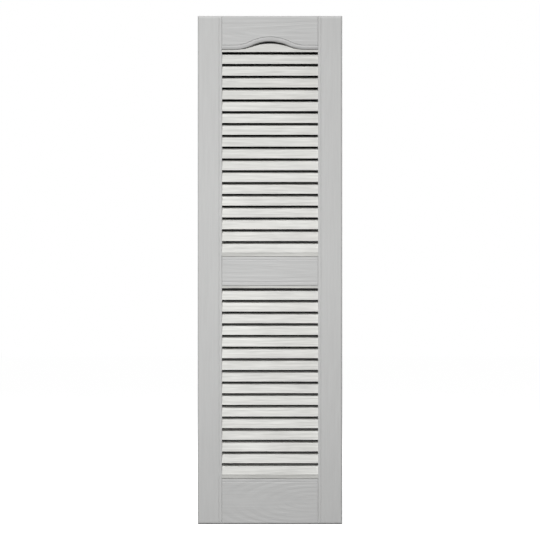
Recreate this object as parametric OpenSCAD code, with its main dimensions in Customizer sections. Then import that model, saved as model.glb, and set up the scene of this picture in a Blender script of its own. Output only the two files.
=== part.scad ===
// Louvred exterior shutter, moulded in one piece with an open, ribbed back.
//
// Row frame: +X across the panel, +Y towards the wall behind it, +Z up.
// The origin is the centre of the back plane, so the front face lies at -Y.
// Each section of a long member is drawn in u and v: u runs from the edge of an
// opening into the frame, and v runs forward from the back plane.

/* [Panel] */
// Width across both stiles
panel_w = 368.3; // [320:0.1:450]
// Height from the bottom edge to the top edge
panel_h = 1295.4; // [900:0.1:1900]
// Depth from the back rim to the front face
panel_d = 25.4; // [24:0.1:38]
// Rounding of the outer front edges
edge_r = 4; // [1:0.1:5]

/* [Frame] */
// Width of each upright stile
stile_w = 61.5; // [45:0.1:75]
// Height of the top rail beside the arch
top_rail_h = 85.3; // [60:0.1:120]
// Height of the middle rail
mid_rail_h = 73; // [40:0.1:120]
// How far the middle rail sits below the centre of the panel
mid_rail_drop = 3; // [0:0.5:150]
// Height of the bottom rail
bottom_rail_h = 115.5; // [50:0.1:180]

/* [Arch] */
// Half of the arch's span across the opening
arch_half_w = 92; // [60:0.5:95]
// Rise of the arch's crown above its flat shoulders
arch_rise = 21; // [10:0.5:24]
// Opening between the arch's crown and the slat under it
crown_slot_h = 4.4; // [2:0.1:6]

/* [Edge moulding] */
// Width of the bead along each stile's inner edge
stile_bead_w = 7.2; // [5:0.1:12]
// Width of the bead along the middle and bottom rails
rail_bead_w = 8.4; // [6:0.1:12]
// Width of the crowned bead that follows the arch
arch_bead_w = 9.6; // [8:0.1:12]
// How far the arch's bead falls from its groove to the arch's edge
arch_bead_drop = 1.5; // [0.5:0.1:2]
// Radius of the arch's bead across its crown
arch_bead_r = 18; // [16:0.5:22]
// Rounding of the straight edges at the openings
sight_r = 0.8; // [0.5:0.1:1.5]

/* [Grooves] */
// Width of the groove behind each stile's bead
bead_groove_w = 1.6; // [0.8:0.1:2.4]
// Depth of the groove behind each stile's bead
bead_groove_d = 1; // [0.5:0.1:1.5]
// Width of the groove where rails meet stiles
joint_groove_w = 2.4; // [0.8:0.1:3]
// Depth of the groove where rails meet stiles
joint_groove_d = 1.6; // [0.5:0.1:1.6]
// Width of the groove behind the bead of a straight rail
rail_groove_w = 1.6; // [0.8:0.1:2.4]
// Depth of the groove behind the bead of a straight rail
rail_groove_d = 0.5; // [0.3:0.1:1.5]
// Width of the groove that follows the arch
arch_groove_w = 3; // [0.8:0.1:3.4]
// Depth of the groove that follows the arch
arch_groove_d = 1.5; // [0.5:0.1:1.6]

/* [Louvres] */
// Spacing that the louvres come nearest to in each opening
nominal_pitch = 30; // [24:0.5:40]
// Height of the slot between two louvres, seen from the front
slot_h = 4.6; // [3:0.1:8]
// Thickness of each louvre
louvre_t = 2.5; // [2:0.1:3.5]
// How far each louvre slopes back from its lower lip
louvre_run = 11; // [5:0.5:14]
// Height of the plain strip above the louvres, up to the rail or the arch's ends
head_land_h = 7; // [5:0.1:10]
// Height of the plain strip below the louvres, down to the rail
foot_land_h = 10.2; // [5:0.1:12]
// Depth of the louvres' lips behind the front face
recess = 1.2; // [1:0.1:5]
// How far the strip under the louvres sits behind their lips
land_step = 1; // [0.5:0.1:2]
// Width of the fine gap between that strip and the rail below
foot_gap_w = 1.1; // [0.6:0.1:1.6]
// Depth of that gap from the strip's face
foot_gap_d = 1.5; // [0.5:0.1:1.6]

/* [Shell] */
// Thickness of the moulded walls
wall = 2.5; // [2:0.1:3.5]
// Thickness of the stiffening ribs
rib_t = 2; // [1.5:0.1:3]
// Spacing that the ribs come nearest to
rib_pitch = 82; // [50:1:150]
// How far the ribs stop short of the back plane
rib_setback = 4; // [2:0.5:8]

/* [Hidden] */
$fn = 96;

half_w = panel_w / 2;
half_h = panel_h / 2;
open_half = half_w - stile_w;

// The rails and louvres run into the stiles' inner walls, and stay fused to them
rail_l = 2 * (open_half + wall);
louvre_l = 2 * open_half + wall;
// The slat under the arch runs this far into the rail's wall
slat_tuck = 0.5;
// The strip under the louvres runs this far up behind the lowest lip
land_lap = 1.5;
// Rounding of the hollows along the panel's outer edges, where the wall keeps its thickness
hollow_r = max(edge_r - wall, 0.5);
// Extra length of a cutting shape past the surface that it cuts
over = 1;
// Angle at which each rounded edge still meets its two faces
edge_lean = 10;
// Neighbouring sweeps of the arch overlap by this length and this turn, and the
// shoulders' are this much deeper, so that no two of their surfaces coincide
seam_lap = 0.5;
seam_turn = 0.3;
seam_step = 0.05;

// Levels of the openings' edges
upper_top = half_h - top_rail_h;
upper_bottom = mid_rail_h / 2 - mid_rail_drop;
lower_top = -mid_rail_h / 2 - mid_rail_drop;
lower_bottom = bottom_rail_h - half_h;

// The louvres share out what the two plain strips leave of an opening's height
function bank_h(opening_h) = opening_h - head_land_h - foot_land_h;
function louvre_count(opening_h) = round(bank_h(opening_h) / nominal_pitch);
function louvre_pitch(opening_h) = bank_h(opening_h) / louvre_count(opening_h);

// Every louvre leans back by one angle, set by those of the upper opening
louvre_lean = atan(louvre_run / (louvre_pitch(upper_top - upper_bottom) - slot_h));

// The arch is a crown arc between two shoulder arcs of the same radius and half the turn
function arch_turn(rise) = 2 * atan(rise / arch_half_w);
function arch_r(rise) = arch_half_w / (2 * sin(arch_turn(rise)));

// ---- Sweeps of a section drawn in u and v ----

// Along X, with u pointing up
module along_x(length) {
    rotate(a = 180, v = [1, 0, 1])
        translate([0, 0, -length / 2])
            linear_extrude(length)
                children();
}

// Along X, with u pointing down
module along_x_below(length) {
    mirror([0, 0, 1])
        along_x(length)
            children();
}

// Along Z, with u pointing towards +X
module along_z(length) {
    mirror([0, 1, 0])
        translate([0, 0, -length / 2])
            linear_extrude(length)
                children();
}

// Along an arc in the XZ plane about the origin, with u pointing away from it
module along_arc(r, start, turn) {
    rotate([90, 0, 0])
        rotate(start)
            rotate_extrude(angle = turn)
                translate([r, 0])
                    children();
}

// Along the arch: its crown, then a shoulder and a flat end on each side
module along_arch() {
    turn = arch_turn(arch_rise);
    r = arch_r(arch_rise);
    crown_turn = turn + seam_turn;
    flat_start = arch_half_w - seam_lap;
    flat_l = rail_l / 2 + over - flat_start;
    translate([0, 0, arch_rise - r])
        along_arc(r, 90 - crown_turn, 2 * crown_turn)
            children();
    for (side = [0, 1])
        mirror([side, 0, 0]) {
            translate([arch_half_w, 0, r])
                along_arc(r - seam_step, 270 - turn, turn)
                    mirror([1, 0])
                        children();
            translate([flat_start + flat_l / 2, 0, 0])
                along_x(flat_l)
                    children();
        }
}

// ---- Sections ----

module groove_cut(u, width, depth) {
    translate([u, panel_d])
        polygon([
            [-width / 2, 0], [0, -depth], [width / 2, 0],
            [width / 2, over], [-width / 2, over]
        ]);
}

// What rounds a front edge, reaching back this far along both of its faces
module rounding_cut(reach) {
    r = reach / (cos(edge_lean) - sin(edge_lean));
    inset = r * cos(edge_lean);
    difference() {
        translate([-over, panel_d - inset])
            square(inset + over);
        translate([inset, panel_d - inset])
            circle(r);
    }
}

// What shapes the arch's bead: a low crown that ends at the near side of its groove
module arch_bead_cut() {
    crown_w = arch_bead_w - arch_groove_w / 2;
    chord = norm([crown_w, arch_bead_drop]);
    // Tilt of the crown's surface where it ends at the groove
    end_tilt = asin(chord / (2 * arch_bead_r)) - atan(arch_bead_drop / crown_w);
    difference() {
        translate([-over, panel_d - 2 * arch_bead_drop])
            square([arch_bead_w + over, 2 * arch_bead_drop + over]);
        translate([
            crown_w - arch_bead_r * sin(end_tilt), panel_d - arch_bead_r * cos(end_tilt)
        ])
            circle(arch_bead_r);
    }
}

// Open towards the back, with its front at v = depth and both front corners rounded
module rounded_section(width, depth, reach) {
    difference() {
        translate([-width / 2, -over])
            square([width, depth + over]);
        for (side = [0, 1])
            mirror([side, 0])
                translate([-width / 2, depth - panel_d])
                    rounding_cut(reach);
    }
}

// A sloping bar between two level cuts, from its lower lip at u = 0 up to u = height
module louvre_section(height) {
    intersection() {
        translate([0, panel_d - recess])
            rotate(-louvre_lean)
                translate([-louvre_t, -louvre_t])
                    square([height / cos(louvre_lean) + 2 * louvre_t, louvre_t]);
        square([height, panel_d]);
    }
}

// The strip under the louvres, from inside the rail's wall at u = 0 and down
module foot_strip_section() {
    front = panel_d - recess - land_step;
    difference() {
        translate([-wall / 2, front - louvre_t])
            square([wall / 2 + foot_land_h + land_lap, louvre_t]);
        translate([0, front - foot_gap_d])
            square([foot_gap_w, foot_gap_d + over]);
    }
}

// Everything under the arch's line in X and Z, with its flat ends at z = 0.
// A grow above 0 moves the whole line into the rail by that much.
module arch_outline(rise, grow) {
    turn = arch_turn(rise);
    r = arch_r(rise);
    split = (r + grow) * sin(turn);
    depth = 2 * head_land_h;
    half_l = rail_l / 2 + over;
    translate([-half_l, -depth])
        square([2 * half_l, depth + grow]);
    intersection() {
        translate([0, rise - r])
            circle(r + grow);
        translate([-split, -over])
            square([2 * split, rise + grow + 2 * over]);
    }
    for (side = [0, 1])
        mirror([side, 0])
            difference() {
                translate([split, -over])
                    square([arch_half_w - split, rise + over]);
                translate([arch_half_w, r])
                    circle(r - seam_step - grow);
            }
}

// ---- Solids that only shape others ----

module under_arch(rise, grow) {
    translate([0, over, 0])
        rotate([90, 0, 0])
            linear_extrude(panel_d + 2 * over)
                arch_outline(rise, grow);
}

// The space inside a channel along X, all but its ribs
module ribbed_hollow(length, width) {
    bays = max(1, round(length / rib_pitch));
    bay_l = (length - (bays - 1) * rib_t) / bays;
    translate([-length / 2, -rib_setback, -width / 2])
        cube([length, rib_setback + over, width]);
    for (i = [0:bays - 1])
        translate([i * (bay_l + rib_t) - length / 2, wall - panel_d, -width / 2])
            cube([bay_l, panel_d - wall, width]);
}

// Everything at least this far inside the panel's front face and its four sides
module envelope(inset, reach) {
    width = panel_w - 2 * inset;
    height = panel_h - 2 * inset;
    depth = panel_d - inset;
    intersection() {
        along_x(width) rounded_section(height, depth, reach);
        along_z(height) rounded_section(width, depth, reach);
    }
}

// ---- Frame ----

module stile() {
    difference() {
        translate([open_half, -panel_d, -half_h])
            cube([stile_w, panel_d, panel_h]);
        translate([open_half, 0, 0])
            along_z(panel_h + 2 * over)
                rounding_cut(sight_r);
        intersection() {
            translate([open_half + stile_w / 2, 0, 0])
                rotate([0, 90, 0])
                    ribbed_hollow(panel_h - 2 * wall, stile_w - 2 * wall);
            envelope(wall, hollow_r);
        }
    }
}

module rail_blank(bottom, height) {
    translate([-rail_l / 2, -panel_d, bottom])
        cube([rail_l, panel_d, height]);
}

module edge_cut() {
    rounding_cut(sight_r);
    groove_cut(rail_bead_w, rail_groove_w, rail_groove_d);
}

module top_rail() {
    difference() {
        rail_blank(upper_top, top_rail_h);
        translate([0, 0, upper_top]) {
            under_arch(arch_rise, 0);
            along_arch() arch_bead_cut();
            along_arch() groove_cut(arch_bead_w, arch_groove_w, arch_groove_d);
        }
        difference() {
            intersection() {
                translate([0, 0, upper_top + (top_rail_h - wall) / 2])
                    ribbed_hollow(2 * open_half, top_rail_h - wall);
                envelope(wall, hollow_r);
            }
            translate([0, 0, upper_top])
                under_arch(arch_rise, wall);
        }
    }
}

module mid_rail() {
    difference() {
        rail_blank(lower_top, mid_rail_h);
        translate([0, 0, lower_top])
            along_x(rail_l + 2 * over) edge_cut();
        translate([0, 0, upper_bottom])
            along_x_below(rail_l + 2 * over) edge_cut();
        translate([0, 0, -mid_rail_drop])
            ribbed_hollow(2 * open_half, mid_rail_h - 2 * wall);
    }
}

module bottom_rail() {
    difference() {
        rail_blank(-half_h, bottom_rail_h);
        translate([0, 0, lower_bottom])
            along_x_below(rail_l + 2 * over) edge_cut();
        intersection() {
            translate([0, 0, bottom_rail_h / 2 - half_h])
                ribbed_hollow(2 * open_half, bottom_rail_h - 2 * wall);
            envelope(wall, hollow_r);
        }
    }
}

module frame() {
    difference() {
        union() {
            stile();
            mirror([1, 0, 0]) stile();
            top_rail();
            mid_rail();
            bottom_rail();
        }
        for (side = [0, 1])
            mirror([side, 0, 0])
                translate([open_half, 0, 0])
                    along_z(panel_h + 2 * over) {
                        groove_cut(0, joint_groove_w, joint_groove_d);
                        groove_cut(stile_bead_w, bead_groove_w, bead_groove_d);
                    }
    }
}

// ---- Louvres ----

// The louvres of one opening and the plain strip under them, from its edge at z = 0
module louvre_bank(opening_h) {
    pitch = louvre_pitch(opening_h);
    for (i = [0:louvre_count(opening_h) - 1])
        translate([0, 0, foot_land_h + i * pitch])
            along_x(louvre_l)
                louvre_section(pitch - slot_h);
    along_x(louvre_l)
        foot_strip_section();
}

// The head strip hangs from the rail above it, with its face in line with the lips
module head_strip() {
    translate([0, 0, -head_land_h])
        along_x(louvre_l)
            translate([0, panel_d - recess - louvre_t])
                square([head_land_h + wall / 2, louvre_t]);
}

// The slat under the arch: it fills the arch but for a crescent at the crown
module arch_slat() {
    intersection() {
        translate([0, 0, -head_land_h])
            along_x(louvre_l)
                louvre_section(head_land_h + arch_rise + louvre_t);
        translate([0, 0, slat_tuck])
            under_arch(arch_rise - crown_slot_h - slat_tuck, 0);
    }
}

module shutter_panel() {
    color([0.76, 0.76, 0.755])
        intersection() {
            union() {
                frame();
                translate([0, 0, upper_bottom])
                    louvre_bank(upper_top - upper_bottom);
                translate([0, 0, upper_top])
                    arch_slat();
                translate([0, 0, lower_bottom])
                    louvre_bank(lower_top - lower_bottom);
                translate([0, 0, lower_top])
                    head_strip();
            }
            envelope(0, edge_r);
        }
}

shutter_panel();
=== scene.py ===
import math

import bmesh
import bpy
import numpy as np
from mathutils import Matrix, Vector


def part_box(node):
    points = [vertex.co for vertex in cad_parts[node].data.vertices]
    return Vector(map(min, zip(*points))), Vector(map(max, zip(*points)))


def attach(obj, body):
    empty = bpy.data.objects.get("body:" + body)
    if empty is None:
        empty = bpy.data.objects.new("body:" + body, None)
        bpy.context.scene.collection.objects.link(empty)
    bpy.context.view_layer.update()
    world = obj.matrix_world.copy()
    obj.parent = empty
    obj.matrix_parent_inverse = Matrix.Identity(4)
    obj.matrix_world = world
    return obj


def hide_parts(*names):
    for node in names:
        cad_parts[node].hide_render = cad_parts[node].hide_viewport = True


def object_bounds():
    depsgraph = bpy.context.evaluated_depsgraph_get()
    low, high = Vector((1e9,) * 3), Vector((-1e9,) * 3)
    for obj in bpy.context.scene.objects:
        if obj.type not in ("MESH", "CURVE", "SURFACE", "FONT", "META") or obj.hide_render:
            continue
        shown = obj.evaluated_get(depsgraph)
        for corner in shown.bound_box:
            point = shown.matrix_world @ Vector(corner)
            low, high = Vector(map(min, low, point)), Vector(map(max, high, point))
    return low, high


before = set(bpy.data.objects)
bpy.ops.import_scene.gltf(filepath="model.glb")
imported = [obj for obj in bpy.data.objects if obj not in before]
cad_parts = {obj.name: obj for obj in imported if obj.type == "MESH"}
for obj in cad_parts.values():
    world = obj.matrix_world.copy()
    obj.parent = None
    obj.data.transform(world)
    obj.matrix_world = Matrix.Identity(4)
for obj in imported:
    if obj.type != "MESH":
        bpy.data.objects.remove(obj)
CAD_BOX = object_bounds()
NODE = "shutter_panel"

# ---------------------------------------------------------------- sizes, in mm
# The outer sizes come from the CAD node. The rest repeat part.scad's named sizes.
LOW, HIGH = (np.array(corner) * 1000 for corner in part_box(NODE))
PANEL_W, PANEL_D, PANEL_H = HIGH - LOW
HALF_W, HALF_H = PANEL_W / 2, PANEL_H / 2
EDGE_R = 4.0
STILE_W = 61.5
TOP_RAIL_H, MID_RAIL_H, BOTTOM_RAIL_H = 85.3, 73.0, 115.5
MID_RAIL_DROP = 3.0
ARCH_HALF_W, ARCH_RISE = 92.0, 21.0
CROWN_SLOT_H, SLAT_TUCK = 4.4, 0.5
STILE_BEAD_W, RAIL_BEAD_W = 7.2, 8.4
ARCH_BEAD_W, ARCH_BEAD_DROP, ARCH_BEAD_R = 9.6, 1.5, 18.0
SIGHT_R = 0.8
# Width and depth of each kind of groove
BEAD_GROOVE, JOINT_GROOVE = (1.6, 1.0), (2.4, 1.6)
RAIL_GROOVE, ARCH_GROOVE = (1.6, 0.5), (3.0, 1.5)
NOMINAL_PITCH, SLOT_H = 30.0, 4.6
LOUVRE_T, LOUVRE_RUN = 2.5, 11.0
HEAD_LAND_H, FOOT_LAND_H = 7.0, 10.2
RECESS, LAND_STEP, LAND_LAP = 1.2, 1.0, 1.5
FOOT_GAP_W, FOOT_GAP_D = 1.1, 1.5
WALL = 2.5
RIB_T, RIB_PITCH, RIB_SETBACK = 2.0, 82.0, 4.0
# How far a rounded edge's arc leans off the face where the two meet
EDGE_LEAN = math.radians(10)

OPEN_HALF = HALF_W - STILE_W
UPPER_TOP = HALF_H - TOP_RAIL_H
UPPER_BOTTOM = MID_RAIL_H / 2 - MID_RAIL_DROP
LOWER_TOP = -MID_RAIL_H / 2 - MID_RAIL_DROP
LOWER_BOTTOM = BOTTOM_RAIL_H - HALF_H
LIP_V = PANEL_D - RECESS


def louvre_layout(opening_h):
    """How many louvres an opening holds, and their spacing."""
    bank_h = opening_h - HEAD_LAND_H - FOOT_LAND_H
    count = round(bank_h / NOMINAL_PITCH)
    return count, bank_h / count


LEAN = math.atan(LOUVRE_RUN / (louvre_layout(UPPER_TOP - UPPER_BOTTOM)[1] - SLOT_H))

# ---------------------------------------------------------------- moulded wood grain
# Depths of the grain and of the slow swell under it, and the swell's spacing
GRAIN_D = 0.22
SWELL_D, SWELL_GAP = 0.3, 11.0
# How far the lines wander, and the size of each kind of patch, along and across
DRIFT_W, WOBBLE_W = 5, 1.3
DRIFT, WOBBLE = (160, 50), (45, 13)
FADING, STREAKS, SWELLING = (70, 8), (26, 1.9), (60, 15)
NOISE_CELLS = 128


def smooth_noise(along, across, patch, seed):
    """Smooth noise from -1 to 1 that changes once in each patch, along and across."""
    table = np.random.default_rng(seed).uniform(-1, 1, (NOISE_CELLS, NOISE_CELLS))
    x, y = along / patch[0], across / patch[1]
    xi, yi = np.floor(x).astype(int), np.floor(y).astype(int)
    fx, fy = x - xi, y - yi
    fx, fy = fx * fx * (3 - 2 * fx), fy * fy * (3 - 2 * fy)
    x0, x1 = xi % NOISE_CELLS, (xi + 1) % NOISE_CELLS
    y0, y1 = yi % NOISE_CELLS, (yi + 1) % NOISE_CELLS
    near = table[x0, y0] * (1 - fx) + table[x1, y0] * fx
    far = table[x0, y1] * (1 - fx) + table[x1, y1] * fx
    return near * (1 - fy) + far * fy


def wood_grain(along, across, seed, arches=None):
    """Depth of the grain below the face, in mm, with its lines running the first way.

    arches says where the lines close into arches, along and across, and how long these are drawn."""
    rng = np.random.default_rng(seed)
    anywhere = (rng.uniform(-250, 250), rng.uniform(-12, 12), rng.uniform(14, 20))
    knee, heart, draw = arches or anywhere
    line_gap = rng.uniform(3.6, 5.2)
    drift = DRIFT_W * smooth_noise(along, across, DRIFT, seed + 1)
    drift = drift + WOBBLE_W * smooth_noise(along, across, WOBBLE, seed + 2)
    ring = np.hypot(across - heart + drift, (along - knee) / draw)
    lines = (0.5 + 0.5 * np.cos(2 * np.pi * ring / line_gap)) ** 3
    lines = lines * (0.65 + 0.35 * smooth_noise(along, across, FADING, seed + 3))
    streaks = 0.5 + 0.5 * smooth_noise(along, across, STREAKS, seed + 4)
    swell = 0.5 + 0.5 * np.cos(2 * np.pi * ring / SWELL_GAP)
    swell = swell * (0.6 + 0.4 * smooth_noise(along, across, SWELLING, seed + 5))
    return GRAIN_D * (0.6 * lines + 0.4 * streaks) + SWELL_D * swell


# ---------------------------------------------------------------- meshes
# Points this near are one point, and edges this short are none, in m
SAME_POINT, NO_EDGE = 1e-6, 1e-7
SHARP_ANGLE = math.radians(35)


def loft(rings):
    """Vertices and faces of a closed solid through a row of closed loops."""
    n, m, _ = rings.shape
    i, j = np.arange(n - 1)[:, None] * m, np.arange(m)
    k = (j + 1) % m
    quads = np.stack([i + j, i + k, i + m + k, i + m + j], -1).reshape(-1, 4)
    caps = [list(range(m)), list(range((n - 1) * m, n * m))]
    return rings.reshape(-1, 3), quads.tolist() + caps


def piece(name, solid, material):
    """One object of one closed solid, which rides with the panel."""
    points, faces = solid
    mesh = bpy.data.meshes.new(name)
    mesh.from_pydata((points / 1000).tolist(), [], faces)
    bm = bmesh.new()
    bm.from_mesh(mesh)
    bmesh.ops.remove_doubles(bm, verts=bm.verts, dist=SAME_POINT)
    bmesh.ops.dissolve_degenerate(bm, edges=bm.edges, dist=NO_EDGE)
    bmesh.ops.recalc_face_normals(bm, faces=bm.faces)
    bm.to_mesh(mesh)
    bm.free()
    mesh.shade_smooth()
    mesh.set_sharp_from_angle(angle=SHARP_ANGLE)
    mesh.materials.append(material)
    obj = bpy.data.objects.new(name, mesh)
    bpy.context.scene.collection.objects.link(obj)
    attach(obj, "root")
    return obj


def spaced(start, end, step):
    """Even steps from start to end, both included, no longer than step."""
    return np.linspace(start, end, max(2, math.ceil(abs(end - start) / step) + 1))


def rounded(distance, reach):
    """How far a rounded edge drops below the face at this distance from it."""
    r = reach / (math.cos(EDGE_LEAN) - math.sin(EDGE_LEAN))
    inset = r * math.cos(EDGE_LEAN)
    d = np.clip(distance, 0, reach)
    return np.where(distance < reach, inset - np.sqrt(r * r - (inset - d) ** 2), 0)


def grooved(distance, groove):
    """How far a V-groove drops below the face at this distance from its middle."""
    width, depth = groove
    return depth * np.clip(1 - np.abs(distance) / (width / 2), 0, 1)


def arch_bead(distance):
    """How far the arch's crowned bead drops below the face at this distance from its edge."""
    crown_w = ARCH_BEAD_W - ARCH_GROOVE[0] / 2
    chord = math.hypot(crown_w, ARCH_BEAD_DROP)
    end_tilt = math.asin(chord / (2 * ARCH_BEAD_R)) - math.atan(ARCH_BEAD_DROP / crown_w)
    from_centre = distance - crown_w + ARCH_BEAD_R * math.sin(end_tilt)
    crown = ARCH_BEAD_R * math.cos(end_tilt) - np.sqrt(ARCH_BEAD_R ** 2 - from_centre ** 2)
    return np.where(distance < ARCH_BEAD_W, np.maximum(crown, 0), 0)


def edge_points(reach, count=7):
    """Distances from an edge that follow its rounding."""
    return reach * (1 - np.cos(np.linspace(0, np.pi / 2, count)))


def groove_points(middle, groove):
    """Distances that follow a groove down one side and up the other."""
    return middle + groove[0] / 2 * np.array([-1, -0.5, 0, 0.5, 1])


# ---------------------------------------------------------------- open-backed channels
# Stations lie this far on each side of a step in the shape, so that it stands nearly square
STEP_L = 0.04
# Distance between stations along a stile or rail, and between points across its face
STATION, POINT_GAP = 4.0, 1.0


def bays(length):
    """Where the hollow's bays start and end along a channel of this length about 0."""
    count = max(1, round(length / RIB_PITCH))
    bay = (length - (count - 1) * RIB_T) / count
    starts = np.arange(count) * (bay + RIB_T) - length / 2
    return [(s, s + bay) for s in starts]


def hollow_top(stations, length, walled):
    """How far forward the hollow reaches at each station: less at a rib, 0 in an end wall."""
    top = np.full(len(stations), 0.0 if walled else PANEL_D - WALL)
    top[np.abs(stations) < length / 2] = RIB_SETBACK
    for start, end in bays(length):
        top[(stations > start) & (stations < end)] = PANEL_D - WALL
    return top


def hollow_stations(length):
    """A pair of stations at each end of every bay."""
    edges = np.array(bays(length)).ravel()
    return np.concatenate([edges - STEP_L, edges + STEP_L])


def sorted_stations(low, high, *parts):
    s = np.unique(np.round(np.concatenate(parts), 3))
    return s[(s >= low) & (s <= high)]


def channel(u, face, width, top):
    """Loops (u, v) of an open-backed channel: its face, then round its back.

    face holds v for each station and each u; top holds the hollow's reach at each station."""
    back_u = np.array([width, width - WALL, width - WALL, WALL, WALL, 0])
    back_v = np.zeros((len(top), len(back_u)))
    back_v[:, 2:4] = top[:, None]
    loop_u = np.tile(np.concatenate([u, back_u]), (len(top), 1))
    return loop_u, np.concatenate([face, back_v], 1)


# ---------------------------------------------------------------- materials
# Each noise's changes per metre, along and across the grain, and its detail
FINE, STREAKY, CLOUDY = (26, 700, 4), (9, 230, 2), (5, 9, 2)
# The part of a noise's range that a ramp spreads out
NOISE_LOW, NOISE_HIGH = 0.36, 0.64


def plastic(name, along_axis, dark, light):
    """Light grey moulded plastic with a fine streaked grain along X or Z."""
    m = bpy.data.materials.new(name)
    m.use_nodes = True
    nodes, links = m.node_tree.nodes, m.node_tree.links
    shader = nodes["Principled BSDF"]
    shader.inputs["Specular IOR Level"].default_value = 0.45
    place = nodes.new("ShaderNodeTexCoord")

    def noise(along, across, detail):
        mapping = nodes.new("ShaderNodeMapping")
        scale = (along, across, across) if along_axis == "X" else (across, across, along)
        mapping.inputs["Scale"].default_value = scale
        links.new(place.outputs["Object"], mapping.inputs["Vector"])
        n = nodes.new("ShaderNodeTexNoise")
        n.inputs["Scale"].default_value = 1.0
        n.inputs["Detail"].default_value = detail
        n.inputs["Roughness"].default_value = 0.6
        links.new(mapping.outputs["Vector"], n.inputs["Vector"])
        return n.outputs["Fac"]

    def ramp(source, low, high):
        r = nodes.new("ShaderNodeMapRange")
        r.inputs["From Min"].default_value = NOISE_LOW
        r.inputs["From Max"].default_value = NOISE_HIGH
        r.inputs["To Min"].default_value = low
        r.inputs["To Max"].default_value = high
        links.new(source, r.inputs["Value"])
        return r.outputs["Result"]

    def total(first, second):
        add = nodes.new("ShaderNodeMath")
        links.new(first, add.inputs[0])
        links.new(second, add.inputs[1])
        return add.outputs[0]

    fine, streak, cloud = noise(*FINE), noise(*STREAKY), noise(*CLOUDY)
    tint = nodes.new("ShaderNodeMix")
    tint.data_type = "RGBA"
    tint.inputs["A"].default_value = dark
    tint.inputs["B"].default_value = light
    shade = total(total(ramp(fine, 0, 0.25), ramp(streak, 0, 0.5)), ramp(cloud, 0, 0.25))
    links.new(shade, tint.inputs["Factor"])
    links.new(tint.outputs["Result"], shader.inputs["Base Color"])
    links.new(ramp(fine, 0.62, 0.5), shader.inputs["Roughness"])

    bump = nodes.new("ShaderNodeBump")
    bump.inputs["Strength"].default_value = 0.35
    bump.inputs["Distance"].default_value = 0.0003
    links.new(fine, bump.inputs["Height"])
    links.new(bump.outputs["Normal"], shader.inputs["Normal"])
    return m


STILE_PLASTIC = plastic("plastic_stiles", "Z", (0.559, 0.560, 0.554, 1), (0.601, 0.602, 0.595, 1))
RAIL_PLASTIC = plastic("plastic_rails", "X", (0.542, 0.543, 0.538, 1), (0.604, 0.605, 0.599, 1))
LOUVRE_PLASTIC = plastic("plastic_louvres", "X", (0.474, 0.473, 0.453, 1), (0.693, 0.691, 0.663, 1))


# ---------------------------------------------------------------- stiles
def stile(name, side, seed):
    """One stile; u runs across it from the opening to the outer edge."""
    u = np.unique(np.round(np.concatenate([
        edge_points(SIGHT_R),
        groove_points(0, JOINT_GROOVE)[2:],
        spaced(SIGHT_R, STILE_BEAD_W - BEAD_GROOVE[0] / 2, POINT_GAP),
        groove_points(STILE_BEAD_W, BEAD_GROOVE),
        spaced(STILE_BEAD_W + BEAD_GROOVE[0] / 2, STILE_W - EDGE_R, POINT_GAP),
        STILE_W - edge_points(EDGE_R),
    ]), 4))
    rails = [(UPPER_TOP, HALF_H), (LOWER_TOP, UPPER_BOTTOM), (-HALF_H, LOWER_BOTTOM)]
    seams = np.array([UPPER_TOP, UPPER_BOTTOM, LOWER_TOP, LOWER_BOTTOM])
    hollow_l = PANEL_H - 2 * WALL
    z = sorted_stations(
        -HALF_H, HALF_H,
        spaced(-HALF_H, HALF_H, STATION),
        HALF_H - edge_points(EDGE_R), edge_points(EDGE_R) - HALF_H,
        seams - STEP_L, seams + STEP_L,
        hollow_stations(hollow_l),
    )
    beside_rail = np.zeros(len(z), bool)
    for low, high in rails:
        beside_rail |= (z > low) & (z < high)
    edge_drop = np.where(beside_rail[:, None], grooved(u, JOINT_GROOVE), rounded(u, SIGHT_R))
    drop = edge_drop + grooved(u - STILE_BEAD_W, BEAD_GROOVE) + rounded(STILE_W - u, EDGE_R)
    drop = np.maximum(drop, rounded(HALF_H - np.abs(z), EDGE_R)[:, None])
    grain = wood_grain(z[:, None], u[None] - STILE_W / 2, seed)
    loop_u, loop_v = channel(u, PANEL_D - drop - grain, STILE_W, hollow_top(z, hollow_l, True))
    rings = np.stack(
        [side * (OPEN_HALF + loop_u), -loop_v, np.broadcast_to(z[:, None], loop_u.shape)], -1
    )
    return piece(name, loft(rings), STILE_PLASTIC)


# ---------------------------------------------------------------- rails
# Distance between stations along the arch, and rows up the plain face above its moulding
ARCH_STATION, PLAIN_ROWS = 2.5, 62


def rail_stations(extra=()):
    return sorted_stations(
        -OPEN_HALF, OPEN_HALF,
        spaced(-OPEN_HALF, OPEN_HALF, STATION),
        OPEN_HALF - groove_points(0, JOINT_GROOVE), groove_points(0, JOINT_GROOVE) - OPEN_HALF,
        hollow_stations(2 * OPEN_HALF),
        extra,
    )


def joint_drop(x):
    """How far the grooves beside the stiles drop below a rail's face at each x."""
    return grooved(OPEN_HALF - np.abs(x), JOINT_GROOVE)[:, None]


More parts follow.
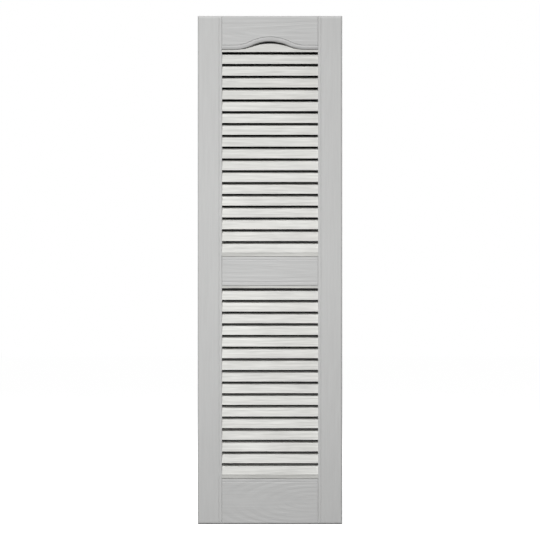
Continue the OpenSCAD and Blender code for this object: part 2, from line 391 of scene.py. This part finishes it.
def straight_rail(name, low, height, low_edge, seed, arches=None):
    """The middle rail, moulded along both edges, or the bottom one, moulded along its top."""
    moulded = [height] if low_edge == "outer" else [0, height]
    u_parts = [spaced(0, height, POINT_GAP)]
    for edge in moulded:
        sign = 1 if edge == 0 else -1
        u_parts.append(edge + sign * edge_points(SIGHT_R))
        u_parts.append(edge + sign * groove_points(RAIL_BEAD_W, RAIL_GROOVE))
    if low_edge == "outer":
        u_parts.append(edge_points(EDGE_R))
    u = np.unique(np.round(np.concatenate(u_parts), 3))
    x = rail_stations()
    drop = np.zeros(len(u))
    for edge in moulded:
        inward = np.abs(u - edge)
        drop = drop + rounded(inward, SIGHT_R) + grooved(inward - RAIL_BEAD_W, RAIL_GROOVE)
    if low_edge == "outer":
        drop = drop + rounded(u, EDGE_R)
    drop = np.maximum(drop[None], joint_drop(x))
    grain = wood_grain(x[:, None], u[None] - height / 2, seed, arches)
    top = hollow_top(x, 2 * OPEN_HALF, False)
    loop_u, loop_v = channel(u, PANEL_D - drop - grain, height, top)
    rings = np.stack([np.broadcast_to(x[:, None], loop_u.shape), -loop_v, low + loop_u], -1)
    return piece(name, loft(rings), RAIL_PLASTIC)


def arch_line(x, rise):
    """Height of the arch and the unit normal that points up into the rail, at each x."""
    r = ARCH_HALF_W / (2 * math.sin(2 * math.atan(rise / ARCH_HALF_W)))
    a = np.abs(x)
    b = np.clip(ARCH_HALF_W - a, 0, None)
    crown = rise - r + np.sqrt(np.maximum(r * r - a * a, 0))
    shoulder = r - np.sqrt(np.maximum(r * r - b * b, 0))
    in_crown = a < ARCH_HALF_W / 2
    z = np.where(in_crown, crown, shoulder)
    slope = np.where(in_crown, a / r, b / r)
    return z, np.sign(x) * slope, np.sqrt(1 - slope ** 2)


def top_rail(name, seed):
    """The top rail, whose face starts at the arch's bead and runs up to the outer edge."""
    x = rail_stations(spaced(-ARCH_HALF_W, ARCH_HALF_W, ARCH_STATION))
    edge_z, nx, nz = arch_line(x, ARCH_RISE)
    moulding = np.unique(np.round(np.concatenate([
        spaced(0, ARCH_BEAD_W - ARCH_GROOVE[0] / 2, 0.7),
        groove_points(ARCH_BEAD_W, ARCH_GROOVE),
        [ARCH_BEAD_W + ARCH_GROOVE[0]],
    ]), 4))
    mould_x = x[:, None] + nx[:, None] * moulding
    mould_z = UPPER_TOP + edge_z[:, None] + nz[:, None] * moulding
    # Above the moulding, rows run evenly up to where the top edge's rounding starts
    t = np.linspace(0, 1, PLAIN_ROWS + 1)[1:]
    plain_x = mould_x[:, -1:] * (1 - t) + x[:, None] * t
    plain_z = mould_z[:, -1:] * (1 - t) + (HALF_H - EDGE_R) * t
    round_z = np.tile(HALF_H - edge_points(EDGE_R)[::-1][1:], (len(x), 1))
    round_x = np.broadcast_to(x[:, None], round_z.shape)
    face_x = np.concatenate([mould_x, plain_x, round_x], 1)
    face_z = np.concatenate([mould_z, plain_z, round_z], 1)
    groove_drop = grooved(moulding - ARCH_BEAD_W, ARCH_GROOVE)
    drop = rounded(HALF_H - face_z, EDGE_R)
    drop[:, :len(moulding)] += np.maximum(arch_bead(moulding), groove_drop)
    drop = np.maximum(drop, joint_drop(x))
    grain = wood_grain(face_x, face_z - (HALF_H - TOP_RAIL_H / 2), seed)
    face_v = PANEL_D - drop - grain
    top = hollow_top(x, 2 * OPEN_HALF, False)
    inner_x, inner_z = x + nx * WALL, UPPER_TOP + edge_z + nz * WALL
    zero = np.zeros(len(x))
    back = [
        (x, zero, zero + HALF_H),
        (x, zero, zero + HALF_H - WALL),
        (x, top, zero + HALF_H - WALL),
        (inner_x, top, inner_z),
        (inner_x, zero, inner_z),
        (x, zero, UPPER_TOP + edge_z),
    ]
    rings = np.concatenate([
        np.stack([face_x, -face_v, face_z], -1),
        np.stack([np.stack([bx, -bv, bz], -1) for bx, bv, bz in back], 1),
    ], 1)
    return piece(name, loft(rings), RAIL_PLASTIC)


# ---------------------------------------------------------------- louvres
# The louvres' ends reach halfway into the walls beside the opening
LOUVRE_HALF = OPEN_HALF + WALL / 2
BAR_X = spaced(-LOUVRE_HALF, LOUVRE_HALF, 3.0)
ARCH_X = spaced(-LOUVRE_HALF, LOUVRE_HALF, ARCH_STATION)
CORNER_R, BACK_CORNER = 0.5, 0.3
CORNER_POINTS = edge_points(CORNER_R, 5)
# Where the louvres and the foot strips lie across the pattern of the grain
LOUVRE_GRAIN, STRIP_GRAIN = 40, 90


def softened(from_edge):
    """How far a face drops where its sharp edge is rounded by CORNER_R."""
    d = np.clip(from_edge, 0, CORNER_R)
    return CORNER_R - np.sqrt(CORNER_R ** 2 - (CORNER_R - d) ** 2)


def bar_rings(x, height, lean, seed):
    """Loops round a bar of this height at each x, which leans back as it rises."""
    heights = np.broadcast_to(height, x.shape)[:, None]
    rows = math.ceil(heights.max())
    z = np.concatenate([
        np.tile(CORNER_POINTS, (len(x), 1)),
        CORNER_R + (heights - 2 * CORNER_R) * np.linspace(0, 1, rows + 1)[1:-1],
        heights - CORNER_POINTS[::-1],
    ], 1)
    drop = softened(z) + softened(heights - z)
    grain = wood_grain(x[:, None], z + LOUVRE_GRAIN, seed)
    face_v = LIP_V - drop - z * math.tan(lean) - grain
    back_z = np.concatenate(
        [heights - BACK_CORNER, heights * 0.5, np.full_like(heights, BACK_CORNER)], 1
    )
    back_v = LIP_V - LOUVRE_T / math.cos(lean) - back_z * math.tan(lean)
    loop_z, loop_v = np.concatenate([z, back_z], 1), np.concatenate([face_v, back_v], 1)
    return np.stack([np.broadcast_to(x[:, None], loop_z.shape), -loop_v, loop_z], -1)


def foot_strip_rings(x, seed):
    """Loops round the strip under a bank, from inside the rail's wall to behind the lowest lip."""
    front = LIP_V - LAND_STEP
    face_z = np.concatenate([
        [-WALL / 2, 0, 0, FOOT_GAP_W],
        FOOT_GAP_W + CORNER_POINTS,
        spaced(FOOT_GAP_W + CORNER_R, FOOT_LAND_H + LAND_LAP, 0.8)[1:],
    ])
    drop = softened(face_z - FOOT_GAP_W)
    drop[:2] = 0
    drop[2:4] = FOOT_GAP_D
    face_v = front - drop - wood_grain(x[:, None], face_z[None] + STRIP_GRAIN, seed)
    loop_z = np.concatenate([face_z, [FOOT_LAND_H + LAND_LAP, -WALL / 2]])
    loop_v = np.concatenate([face_v, np.full((len(x), 2), front - LOUVRE_T)], 1)
    shape = loop_v.shape
    return np.stack(
        [np.broadcast_to(x[:, None], shape), -loop_v, np.broadcast_to(loop_z, shape)], -1
    )


def bar(name, rings, z):
    """One louvre or strip, raised to z."""
    return piece(name, loft(rings + np.array([0, 0, z])), LOUVRE_PLASTIC)


def louvre_bank(name, low, high, seed):
    """The louvres of one opening, and the strip at their foot."""
    count, pitch = louvre_layout(high - low)
    for i in range(count):
        rings = bar_rings(BAR_X, pitch - SLOT_H, LEAN, seed + 10 * i)
        bar(f"{name}_louvre_{i + 1:02d}", rings, low + FOOT_LAND_H + i * pitch)
    bar(f"{name}_foot_strip", foot_strip_rings(BAR_X, seed + 7), low)


def arch_slat_height(x):
    rise = ARCH_RISE - CROWN_SLOT_H - SLAT_TUCK
    return HEAD_LAND_H + SLAT_TUCK + arch_line(x, rise)[0]


left_stile = stile("stile_left", -1, 100)
stile("stile_right", 1, 200)
top_rail("rail_top", 320)
straight_rail("rail_middle", LOWER_TOP, MID_RAIL_H, "moulded", 400)
straight_rail("rail_bottom", -HALF_H, BOTTOM_RAIL_H, "outer", 500, arches=(105, 2, 3.2))
louvre_bank("upper", UPPER_BOTTOM, UPPER_TOP, 1000)
louvre_bank("lower", LOWER_BOTTOM, LOWER_TOP, 2000)
arch_slat_rings = bar_rings(ARCH_X, arch_slat_height(ARCH_X), LEAN, 3000)
bar("upper_arch_slat", arch_slat_rings, UPPER_TOP - HEAD_LAND_H)
head_strip_rings = bar_rings(BAR_X, HEAD_LAND_H + WALL / 2, 0, 3010)
bar("lower_head_strip", head_strip_rings, LOWER_TOP - HEAD_LAND_H)
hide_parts(NODE)

# ---------------------------------------------------------------- stage, in m
FLOOR_HALF, FLOOR_GAP = 12.0, 0.0005
FLOOR_GREY, FLOOR_GLOW = (0.3, 0.3, 0.3, 1), (0.97, 0.97, 0.97, 1)
# Margin of the painted-shade card round the openings, and its place behind the panel
SHADE_CARD_MARGIN, SHADE_CARD_Y = 0.004, 0.0004
# Glow of the painted slot shade at the card's foot and at its head, which lie this far from the
# middle: nearly black, a little lighter towards the foot
PAINTED_SHADE_FOOT, PAINTED_SHADE_HEAD, PAINTED_SHADE_FADE_Z = 0.026, 0.001, 0.55
WHITE = (1, 1, 1, 1)
FILL = 0.08


def stage_material(name, build):
    m = bpy.data.materials.new(name)
    m.use_nodes = True
    m.node_tree.nodes.clear()
    build(m.node_tree.nodes, m.node_tree.links)
    return m


def quad(name, corners, material):
    mesh = bpy.data.meshes.new(name)
    mesh.from_pydata(corners, [], [(0, 1, 2, 3)])
    mesh.materials.append(material)
    obj = bpy.data.objects.new(name, mesh)
    bpy.context.scene.collection.objects.link(obj)
    return obj


def floor_nodes(nodes, links):
    """Nearly white, and a little lighter where the lights fall."""
    out = nodes.new("ShaderNodeOutputMaterial")
    diffuse = nodes.new("ShaderNodeBsdfDiffuse")
    glow = nodes.new("ShaderNodeEmission")
    add = nodes.new("ShaderNodeAddShader")
    diffuse.inputs["Color"].default_value = FLOOR_GREY
    glow.inputs["Color"].default_value = FLOOR_GLOW
    links.new(diffuse.outputs[0], add.inputs[0])
    links.new(glow.outputs[0], add.inputs[1])
    links.new(add.outputs[0], out.inputs["Surface"])


def painted_slot_shade_nodes(nodes, links):
    """Painted shade: a nearly black glow from the front, a little lighter towards the foot, and
    clear from behind.
    """
    out = nodes.new("ShaderNodeOutputMaterial")
    # The glow that paints the shade seen through the slots, darker at the head than at the foot
    dark = nodes.new("ShaderNodeEmission")
    clear = nodes.new("ShaderNodeBsdfTransparent")
    side = nodes.new("ShaderNodeNewGeometry")
    mix = nodes.new("ShaderNodeMixShader")
    split = nodes.new("ShaderNodeSeparateXYZ")
    shade_fade = nodes.new("ShaderNodeMapRange")
    place = nodes.new("ShaderNodeTexCoord")
    shade_tone = nodes.new("ShaderNodeCombineColor")
    shade_fade.inputs["From Min"].default_value = -PAINTED_SHADE_FADE_Z
    shade_fade.inputs["From Max"].default_value = PAINTED_SHADE_FADE_Z
    shade_fade.inputs["To Min"].default_value = PAINTED_SHADE_FOOT
    shade_fade.inputs["To Max"].default_value = PAINTED_SHADE_HEAD
    links.new(place.outputs["Object"], split.inputs[0])
    links.new(split.outputs["Z"], shade_fade.inputs["Value"])
    for channel_name in ("Red", "Green", "Blue"):
        links.new(shade_fade.outputs["Result"], shade_tone.inputs[channel_name])
    links.new(shade_tone.outputs[0], dark.inputs["Color"])
    links.new(side.outputs["Backfacing"], mix.inputs["Fac"])
    links.new(dark.outputs[0], mix.inputs[1])
    links.new(clear.outputs[0], mix.inputs[2])
    links.new(mix.outputs[0], out.inputs["Surface"])


def add_floor():
    """A pale floor just under the panel's lowest edge."""
    z = CAD_BOX[0][2] - FLOOR_GAP
    corners = [
        (-FLOOR_HALF, -FLOOR_HALF, z), (FLOOR_HALF, -FLOOR_HALF, z),
        (FLOOR_HALF, FLOOR_HALF, z), (-FLOOR_HALF, FLOOR_HALF, z),
    ]
    floor = quad("floor", corners, stage_material("pale_floor", floor_nodes))
    floor.visible_diffuse = floor.visible_glossy = False


def add_painted_slot_shade():
    """A card behind the openings that only the camera sees, painting the shade seen through the
    slots.
    """
    x = OPEN_HALF / 1000 + SHADE_CARD_MARGIN
    low = LOWER_BOTTOM / 1000 - SHADE_CARD_MARGIN
    high = (UPPER_TOP + ARCH_RISE) / 1000 + SHADE_CARD_MARGIN
    corners = [(-x, SHADE_CARD_Y, low), (x, SHADE_CARD_Y, low), (x, SHADE_CARD_Y, high), (-x, SHADE_CARD_Y, high)]
    shade_card = quad("painted_slot_shade", corners, stage_material("painted_slot_shade", painted_slot_shade_nodes))
    shade_card.visible_diffuse = shade_card.visible_glossy = shade_card.visible_transmission = False
    shade_card.visible_shadow = shade_card.visible_volume_scatter = False


def add_world():
    """White to the camera, and a weak even fill to everything else."""
    world = bpy.data.worlds.new("studio")
    bpy.context.scene.world = world
    world.use_nodes = True
    nodes, links = world.node_tree.nodes, world.node_tree.links
    nodes.clear()
    out = nodes.new("ShaderNodeOutputWorld")
    seen, fill = nodes.new("ShaderNodeBackground"), nodes.new("ShaderNodeBackground")
    mix, path = nodes.new("ShaderNodeMixShader"), nodes.new("ShaderNodeLightPath")
    seen.inputs["Color"].default_value = WHITE
    seen.inputs["Strength"].default_value = 1.0
    fill.inputs["Color"].default_value = WHITE
    fill.inputs["Strength"].default_value = FILL
    links.new(path.outputs["Is Camera Ray"], mix.inputs["Fac"])
    links.new(fill.outputs[0], mix.inputs[1])
    links.new(seen.outputs[0], mix.inputs[2])
    links.new(mix.outputs[0], out.inputs["Surface"])


def softbox(name, azimuth, elevation, distance, aim, size, power, spread):
    """A square soft light at an azimuth and elevation seen from the panel, in degrees.

    aim is the point in the panel's back plane that it faces, as x and z."""
    a, e = math.radians(azimuth), math.radians(elevation)
    target = Vector((aim[0], 0, aim[1]))
    place = distance * Vector((math.sin(a) * math.cos(e), -math.cos(a) * math.cos(e), math.sin(e)))
    light = bpy.data.lights.new(name, "AREA")
    light.shape = "SQUARE"
    light.size = size
    light.energy = power
    light.spread = math.radians(spread)
    obj = bpy.data.objects.new(name, light)
    obj.location = place
    obj.rotation_mode = "QUATERNION"
    obj.rotation_quaternion = (target - place).to_track_quat("-Z", "Y")
    obj.visible_camera = False
    bpy.context.scene.collection.objects.link(obj)


add_floor()
# A dark card that paints the shade seen through the slots
add_painted_slot_shade()
add_world()
softbox("key", -7, 37, 6.0, (-0.12, -0.27), size=0.8, power=22.4, spread=44)
softbox("back", 150, 38, 3.6, (0, 0), size=1.2, power=65, spread=180)
softbox("right", 124, 12, 3.6, (0, 0), size=1.2, power=35, spread=180)
softbox("left", -124, 12, 3.6, (0, 0), size=1.2, power=35, spread=180)

# ---------------------------------------------------------------- camera
CAMERA_Y = -6.2
# How much the picture spans at the panel's front face, in m, and the sensor's width in mm
FRAME_SIZE = 1.3758
SENSOR = 36.0
camera = bpy.data.cameras.new("camera")
camera.sensor_width = SENSOR
camera.lens = SENSOR * (abs(CAMERA_Y) - PANEL_D / 1000) / FRAME_SIZE
camera_obj = bpy.data.objects.new("camera", camera)
camera_obj.location = (0, CAMERA_Y, 0)
camera_obj.rotation_euler = (math.pi / 2, 0, 0)
bpy.context.scene.collection.objects.link(camera_obj)
bpy.context.scene.camera = camera_obj
bpy.context.scene.view_settings.view_transform = "Standard"
